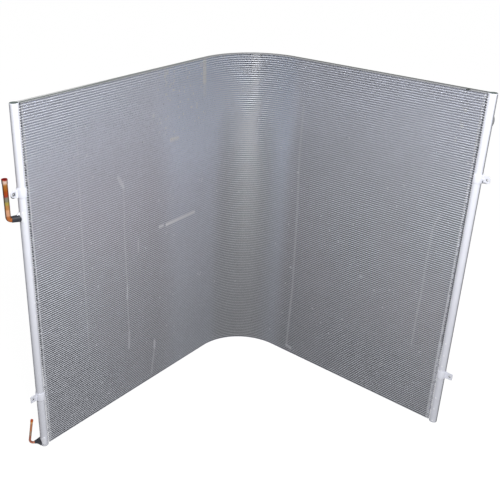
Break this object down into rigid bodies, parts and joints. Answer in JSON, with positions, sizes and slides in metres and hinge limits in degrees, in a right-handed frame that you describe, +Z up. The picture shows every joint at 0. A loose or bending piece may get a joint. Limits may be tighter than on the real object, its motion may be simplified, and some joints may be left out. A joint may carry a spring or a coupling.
{
  "type": "microchannel condenser coil",
  "caption": "Tall L-bent microchannel condenser coil: flat tubes and corrugated fins between two round headers, with hole brackets and two copper pipe stubs.",
  "frame": {"origin": "middle of the coil's overall box in plan, at the level of the header feet, its lowest points", "axes": "+Z up the headers; the leg with the pipe stubs runs along X with its inner face towards -Y, and the other leg runs along Y with its inner face towards -X"},
  "size_m": [1.2893, 1.1559, 1.4113],
  "materials": {
    "core_aluminium": "brazed, matt, slightly dusty",
    "plate_aluminium": "mill finish",
    "header_aluminium": "brazed, pale satin",
    "bracket_aluminium": "brazed, pale satin",
    "fitting_aluminium": "brazed, pale satin",
    "sleeve_black": "black heat-shrink, semi-gloss",
    "gas_copper": "copper with heat tints at the open end",
    "liquid_copper": "copper with heat tints at the open end"
  },
  "bodies": {
    "root": {"core": "core_aluminium", "top_side_plate": "plate_aluminium", "bottom_side_plate": "plate_aluminium", "left_header": "header_aluminium", "right_header": "header_aluminium", "left_header_bottom_cap": "header_aluminium", "left_header_top_cap": "header_aluminium", "right_header_bottom_cap": "header_aluminium", "right_header_top_cap": "header_aluminium", "baffle": "header_aluminium", "upper_left_bracket": "bracket_aluminium", "lower_left_bracket": "bracket_aluminium", "upper_right_bracket": "bracket_aluminium", "lower_right_bracket": "bracket_aluminium", "gas_fitting": "fitting_aluminium", "liquid_fitting": "fitting_aluminium", "gas_sleeve": "sleeve_black", "liquid_sleeve": "sleeve_black", "gas_pipe": "gas_copper", "liquid_pipe": "liquid_copper"}
  },
  "joints": []
}
